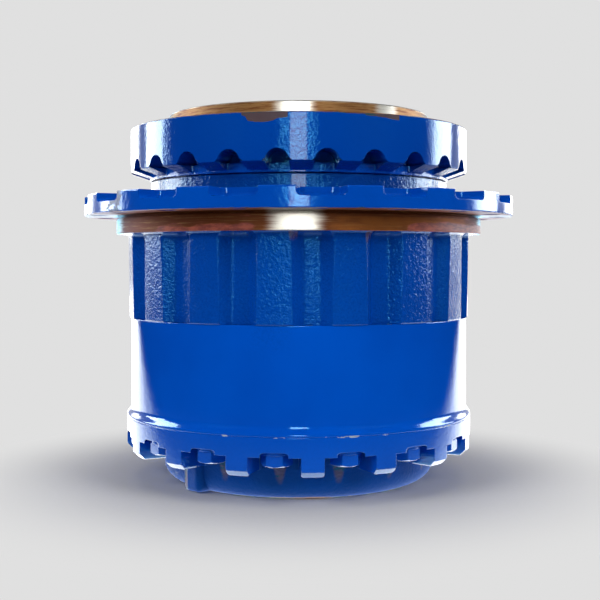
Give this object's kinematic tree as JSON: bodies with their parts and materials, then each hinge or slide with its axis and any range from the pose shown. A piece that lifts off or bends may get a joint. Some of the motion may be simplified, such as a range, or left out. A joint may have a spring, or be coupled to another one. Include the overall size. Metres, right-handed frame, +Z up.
{
  "type": "excavator final drive",
  "caption": "Two-stage planetary track drive: still frame flange on top, turning ribbed housing with notched sprocket flange, ring gear drum and castellated end cover.",
  "frame": {"origin": "middle of the end cover's resting face, on the drive axis", "axes": "+Z up along the drive axis, from the end cover to the frame flange"},
  "size_m": [0.5204, 0.5204, 0.438],
  "materials": {
    "blue_paint": "gloss paint over castings, bare where machined",
    "blue_bolts": "gloss paint",
    "ground_steel": "ground",
    "gear_steel": "case hardened, ground flanks",
    "cast_carrier": "machined casting",
    "seal_rubber": "satin",
    "bronze_washer": "smooth",
    "copper_ring": "smooth"
  },
  "bodies": {
    "hub": {"hub_spindle": "blue_paint", "hub_seal_ring": "ground_steel", "hub_toric_ring": "seal_rubber", "upper_bearing_inner_ring": "ground_steel", "lower_bearing_inner_ring": "ground_steel", "preload_shim": "ground_steel", "output_carrier": "cast_carrier", "output_carrier_screws": "ground_steel", "output_carrier_dowels": "ground_steel", "output_planet_pins": "ground_steel", "output_lock_pins": "ground_steel", "output_thrust_washers": "bronze_washer", "shaft_seal": "seal_rubber"},
    "housing": {"rotating_housing": "blue_paint", "ring_gear": "blue_paint", "end_cover": "blue_paint", "cover_bolts": "blue_bolts", "cover_lock_washers": "blue_bolts", "housing_dowels": "ground_steel", "housing_o_ring": "seal_rubber", "cover_o_ring": "seal_rubber", "thrust_pad": "ground_steel", "housing_seal_ring": "ground_steel", "housing_toric_ring": "seal_rubber", "upper_bearing_outer_ring": "ground_steel", "lower_bearing_outer_ring": "ground_steel", "oil_plugs": "ground_steel", "plug_sealing_rings": "copper_ring"},
    "upper_balls": {"upper_bearing_balls": "ground_steel"},
    "lower_balls": {"lower_bearing_balls": "ground_steel"},
    "input_carrier_group": {"input_carrier": "cast_carrier", "output_sun_gear": "gear_steel", "sun_retaining_ring": "ground_steel", "input_planet_pins": "ground_steel", "input_retaining_rings": "ground_steel", "input_thrust_washers": "bronze_washer"},
    "input_shaft_group": {"input_shaft": "gear_steel", "motor_coupling": "gear_steel", "coupling_retaining_ring": "ground_steel"},
    "output_planet_1": {"output_planet_gear_1": "gear_steel"},
    "output_roller_set_1": {"output_rollers_1": "ground_steel"},
    "output_planet_2": {"output_planet_gear_2": "gear_steel"},
    "output_roller_set_2": {"output_rollers_2": "ground_steel"},
    "output_planet_3": {"output_planet_gear_3": "gear_steel"},
    "output_roller_set_3": {"output_rollers_3": "ground_steel"},
    "output_planet_4": {"output_planet_gear_4": "gear_steel"},
    "output_roller_set_4": {"output_rollers_4": "ground_steel"},
    "input_planet_1": {"input_planet_gear_1": "gear_steel"},
    "input_roller_set_1": {"input_rollers_1": "ground_steel"},
    "input_planet_2": {"input_planet_gear_2": "gear_steel"},
    "input_roller_set_2": {"input_rollers_2": "ground_steel"},
    "input_planet_3": {"input_planet_gear_3": "gear_steel"},
    "input_roller_set_3": {"input_rollers_3": "ground_steel"}
  },
  "joints": [
    {"name": "housing_spin", "type": "hinge", "parent": "hub", "child": "housing", "pos_m": [0, 0, 0.303], "axis": [0, 0, 1], "continuous": true},
    {"name": "upper_balls_spin", "type": "hinge", "parent": "hub", "child": "upper_balls", "pos_m": [0, 0, 0.304], "axis": [0, 0, 1], "continuous": true},
    {"name": "lower_balls_spin", "type": "hinge", "parent": "hub", "child": "lower_balls", "pos_m": [0, 0, 0.227], "axis": [0, 0, 1], "continuous": true},
    {"name": "input_carrier_spin", "type": "hinge", "parent": "hub", "child": "input_carrier_group", "pos_m": [0, 0, 0.113], "axis": [0, 0, 1], "continuous": true},
    {"name": "input_shaft_spin", "type": "hinge", "parent": "hub", "child": "input_shaft_group", "pos_m": [0, 0, 0.113], "axis": [0, 0, 1], "continuous": true},
    {"name": "output_planet_1_spin", "type": "hinge", "parent": "hub", "child": "output_planet_1", "pos_m": [0, -0.105, 0.1625], "axis": [0, 0, 1], "continuous": true},
    {"name": "output_roller_set_1_spin", "type": "hinge", "parent": "hub", "child": "output_roller_set_1", "pos_m": [0, -0.105, 0.1625], "axis": [0, 0, 1], "continuous": true},
    {"name": "output_planet_2_spin", "type": "hinge", "parent": "hub", "child": "output_planet_2", "pos_m": [0.105, 0, 0.1625], "axis": [0, 0, 1], "continuous": true},
    {"name": "output_roller_set_2_spin", "type": "hinge", "parent": "hub", "child": "output_roller_set_2", "pos_m": [0.105, 0, 0.1625], "axis": [0, 0, 1], "continuous": true},
    {"name": "output_planet_3_spin", "type": "hinge", "parent": "hub", "child": "output_planet_3", "pos_m": [0, 0.105, 0.1625], "axis": [0, 0, 1], "continuous": true},
    {"name": "output_roller_set_3_spin", "type": "hinge", "parent": "hub", "child": "output_roller_set_3", "pos_m": [0, 0.105, 0.1625], "axis": [0, 0, 1], "continuous": true},
    {"name": "output_planet_4_spin", "type": "hinge", "parent": "hub", "child": "output_planet_4", "pos_m": [-0.105, 0, 0.1625], "axis": [0, 0, 1], "continuous": true},
    {"name": "output_roller_set_4_spin", "type": "hinge", "parent": "hub", "child": "output_roller_set_4", "pos_m": [-0.105, 0, 0.1625], "axis": [0, 0, 1], "continuous": true},
    {"name": "input_planet_1_spin", "type": "hinge", "parent": "input_carrier_group", "child": "input_planet_1", "pos_m": [0, -0.0975, 0.094], "axis": [0, 0, 1], "continuous": true},
    {"name": "input_roller_set_1_spin", "type": "hinge", "parent": "input_carrier_group", "child": "input_roller_set_1", "pos_m": [0, -0.0975, 0.094], "axis": [0, 0, 1], "continuous": true},
    {"name": "input_planet_2_spin", "type": "hinge", "parent": "input_carrier_group", "child": "input_planet_2", "pos_m": [0.08444, 0.04875, 0.094], "axis": [0, 0, 1], "continuous": true},
    {"name": "input_roller_set_2_spin", "type": "hinge", "parent": "input_carrier_group", "child": "input_roller_set_2", "pos_m": [0.08444, 0.04875, 0.094], "axis": [0, 0, 1], "continuous": true},
    {"name": "input_planet_3_spin", "type": "hinge", "parent": "input_carrier_group", "child": "input_planet_3", "pos_m": [-0.08444, 0.04875, 0.094], "axis": [0, 0, 1], "continuous": true},
    {"name": "input_roller_set_3_spin", "type": "hinge", "parent": "input_carrier_group", "child": "input_roller_set_3", "pos_m": [-0.08444, 0.04875, 0.094], "axis": [0, 0, 1], "continuous": true}
  ],
  "couplings": [
    {"joint": "upper_balls_spin", "follows": "housing_spin", "ratio": 0.5437},
    {"joint": "lower_balls_spin", "follows": "housing_spin", "ratio": 0.5437},
    {"joint": "input_carrier_spin", "follows": "housing_spin", "ratio": -3.6667},
    {"joint": "input_shaft_spin", "follows": "housing_spin", "ratio": -29.333},
    {"joint": "output_planet_1_spin", "follows": "housing_spin", "ratio": 2.75},
    {"joint": "output_roller_set_1_spin", "follows": "housing_spin", "ratio": 1.6399},
    {"joint": "output_planet_2_spin", "follows": "housing_spin", "ratio": 2.75},
    {"joint": "output_roller_set_2_spin", "follows": "housing_spin", "ratio": 1.6399},
    {"joint": "output_planet_3_spin", "follows": "housing_spin", "ratio": 2.75},
    {"joint": "output_roller_set_3_spin", "follows": "housing_spin", "ratio": 1.6399},
    {"joint": "output_planet_4_spin", "follows": "housing_spin", "ratio": 2.75},
    {"joint": "output_roller_set_4_spin", "follows": "housing_spin", "ratio": 1.6399},
    {"joint": "input_planet_1_spin", "follows": "housing_spin", "ratio": 11.407},
    {"joint": "input_roller_set_1_spin", "follows": "housing_spin", "ratio": 6.9008},
    {"joint": "input_planet_2_spin", "follows": "housing_spin", "ratio": 11.407},
    {"joint": "input_roller_set_2_spin", "follows": "housing_spin", "ratio": 6.9008},
    {"joint": "input_planet_3_spin", "follows": "housing_spin", "ratio": 11.407},
    {"joint": "input_roller_set_3_spin", "follows": "housing_spin", "ratio": 6.9008}
  ]
}
